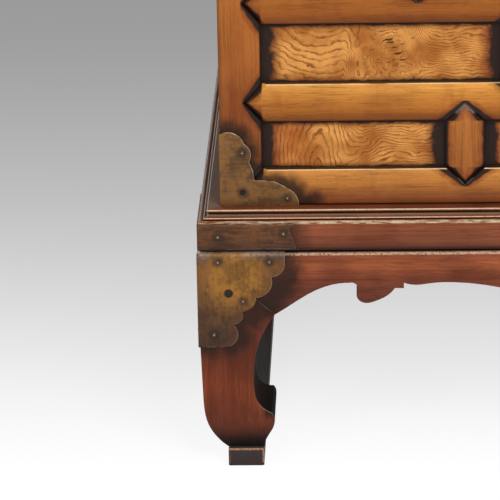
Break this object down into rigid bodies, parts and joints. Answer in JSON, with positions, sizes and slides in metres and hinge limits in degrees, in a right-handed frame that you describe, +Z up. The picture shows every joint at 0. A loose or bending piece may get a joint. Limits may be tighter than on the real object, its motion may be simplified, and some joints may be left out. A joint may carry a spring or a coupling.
{
  "type": "drop-front chest",
  "caption": "Framed wooden drop-front chest on a carved stand, with figured panels, small drawers, brass corner plates and ring pulls.",
  "frame": {"origin": "on the floor, under the middle of the chest", "axes": "+X to the right seen from the front, +Y to the back, +Z up; the front faces -Y"},
  "size_m": [1.011, 0.462, 0.9],
  "materials": {
    "brass_fitting": "cast brass, rubbed bright",
    "brass_plate": "old brass sheet with dark patina",
    "burl_panel": "waxed figured elm",
    "drawer_wood": "waxed figured elm front, plain inner boards",
    "frame_wood": "waxed, worn arrises",
    "inner_wood": "plain, unfinished",
    "runner_wood": "dark and dusty",
    "stand_wood": "dark reddish brown, waxed",
    "top_wood": "waxed, worn edges"
  },
  "bodies": {
    "cabinet": {"apron_front": "stand_wood", "apron_left": "stand_wood", "apron_rear": "stand_wood", "apron_right": "stand_wood", "back_boards": "inner_wood", "base_moulding_front": "stand_wood", "base_moulding_returns": "stand_wood", "base_straps": "brass_plate", "body_corner_plates": "brass_plate", "bottom_board": "inner_wood", "column_panels": "burl_panel", "column_rails": "frame_wood", "cornice_moulding": "top_wood", "drawer_deck": "inner_wood", "drawer_dividers": "frame_wood", "drawer_guides": "inner_wood", "drawer_rail": "frame_wood", "flap_posts": "frame_wood", "front_muntins": "frame_wood", "front_panels": "burl_panel", "front_rail_bottom": "frame_wood", "front_rail_lower": "frame_wood", "front_rail_top": "frame_wood", "front_stiles": "frame_wood", "hinge_leaves_body": "brass_plate", "hinge_rail": "frame_wood", "leg_front_left": "stand_wood", "leg_front_right": "stand_wood", "leg_rear_left": "stand_wood", "leg_rear_right": "stand_wood", "lock_staple": "brass_fitting", "rear_posts": "frame_wood", "runner_left": "runner_wood", "runner_right": "runner_wood", "side_handle_posts": "brass_fitting", "side_panels": "burl_panel", "side_rails": "frame_wood", "stand_corner_plates": "brass_plate", "top_board": "top_wood"},
    "flap": {"flap_stiles": "frame_wood", "flap_rails": "frame_wood", "flap_muntins": "frame_wood", "flap_panels": "burl_panel", "hinge_leaves_flap": "brass_plate", "lock_plate": "brass_plate", "flap_ring_eyes": "brass_fitting"},
    "hasp_strap": {"hasp": "brass_fitting"},
    "left_flap_ring": {"flap_ring_left": "brass_fitting"},
    "right_flap_ring": {"flap_ring_right": "brass_fitting"},
    "left_handle": {"side_handle_left": "brass_fitting"},
    "right_handle": {"side_handle_right": "brass_fitting"},
    "drawer_1_box": {"drawer_1": "drawer_wood", "drawer_1_eye": "brass_fitting"},
    "drawer_1_pull": {"drawer_1_ring": "brass_fitting"},
    "drawer_2_box": {"drawer_2": "drawer_wood", "drawer_2_eye": "brass_fitting"},
    "drawer_2_pull": {"drawer_2_ring": "brass_fitting"},
    "drawer_3_box": {"drawer_3": "drawer_wood", "drawer_3_eye": "brass_fitting"},
    "drawer_3_pull": {"drawer_3_ring": "brass_fitting"}
  },
  "joints": [
    {"name": "flap_hinge", "type": "hinge", "parent": "cabinet", "child": "flap", "pos_m": [0, -0.214, 0.4225], "axis": [1, 0, 0], "range_deg": [0, 170]},
    {"name": "hasp_hinge", "type": "hinge", "parent": "flap", "child": "hasp_strap", "pos_m": [0, -0.214, 0.69], "axis": [-1, 0, 0], "range_deg": [0, 178]},
    {"name": "left_flap_ring_swing", "type": "hinge", "parent": "flap", "child": "left_flap_ring", "pos_m": [-0.14558, -0.21476, 0.58725], "axis": [-1, 0, 0], "range_deg": [0, 160]},
    {"name": "right_flap_ring_swing", "type": "hinge", "parent": "flap", "child": "right_flap_ring", "pos_m": [0.14558, -0.21476, 0.58725], "axis": [-1, 0, 0], "range_deg": [0, 160]},
    {"name": "left_handle_swing", "type": "hinge", "parent": "cabinet", "child": "left_handle", "pos_m": [-0.4925, 0.011, 0.62], "axis": [0, 1, 0], "range_deg": [0, 160]},
    {"name": "right_handle_swing", "type": "hinge", "parent": "cabinet", "child": "right_handle", "pos_m": [0.4925, 0.011, 0.62], "axis": [0, -1, 0], "range_deg": [0, 160]},
    {"name": "drawer_1_slide", "type": "slide", "parent": "cabinet", "child": "drawer_1_box", "axis": [0, -1, 0], "range_m": [0, 0.25]},
    {"name": "drawer_1_ring_swing", "type": "hinge", "parent": "drawer_1_box", "child": "drawer_1_pull", "pos_m": [-0.30983, -0.21476, 0.803], "axis": [-1, 0, 0], "range_deg": [0, 160]},
    {"name": "drawer_2_slide", "type": "slide", "parent": "cabinet", "child": "drawer_2_box", "axis": [0, -1, 0], "range_m": [0, 0.25]},
    {"name": "drawer_2_ring_swing", "type": "hinge", "parent": "drawer_2_box", "child": "drawer_2_pull", "pos_m": [0, -0.21476, 0.803], "axis": [-1, 0, 0], "range_deg": [0, 160]},
    {"name": "drawer_3_slide", "type": "slide", "parent": "cabinet", "child": "drawer_3_box", "axis": [0, -1, 0], "range_m": [0, 0.25]},
    {"name": "drawer_3_ring_swing", "type": "hinge", "parent": "drawer_3_box", "child": "drawer_3_pull", "pos_m": [0.30983, -0.21476, 0.803], "axis": [-1, 0, 0], "range_deg": [0, 160]}
  ]
}
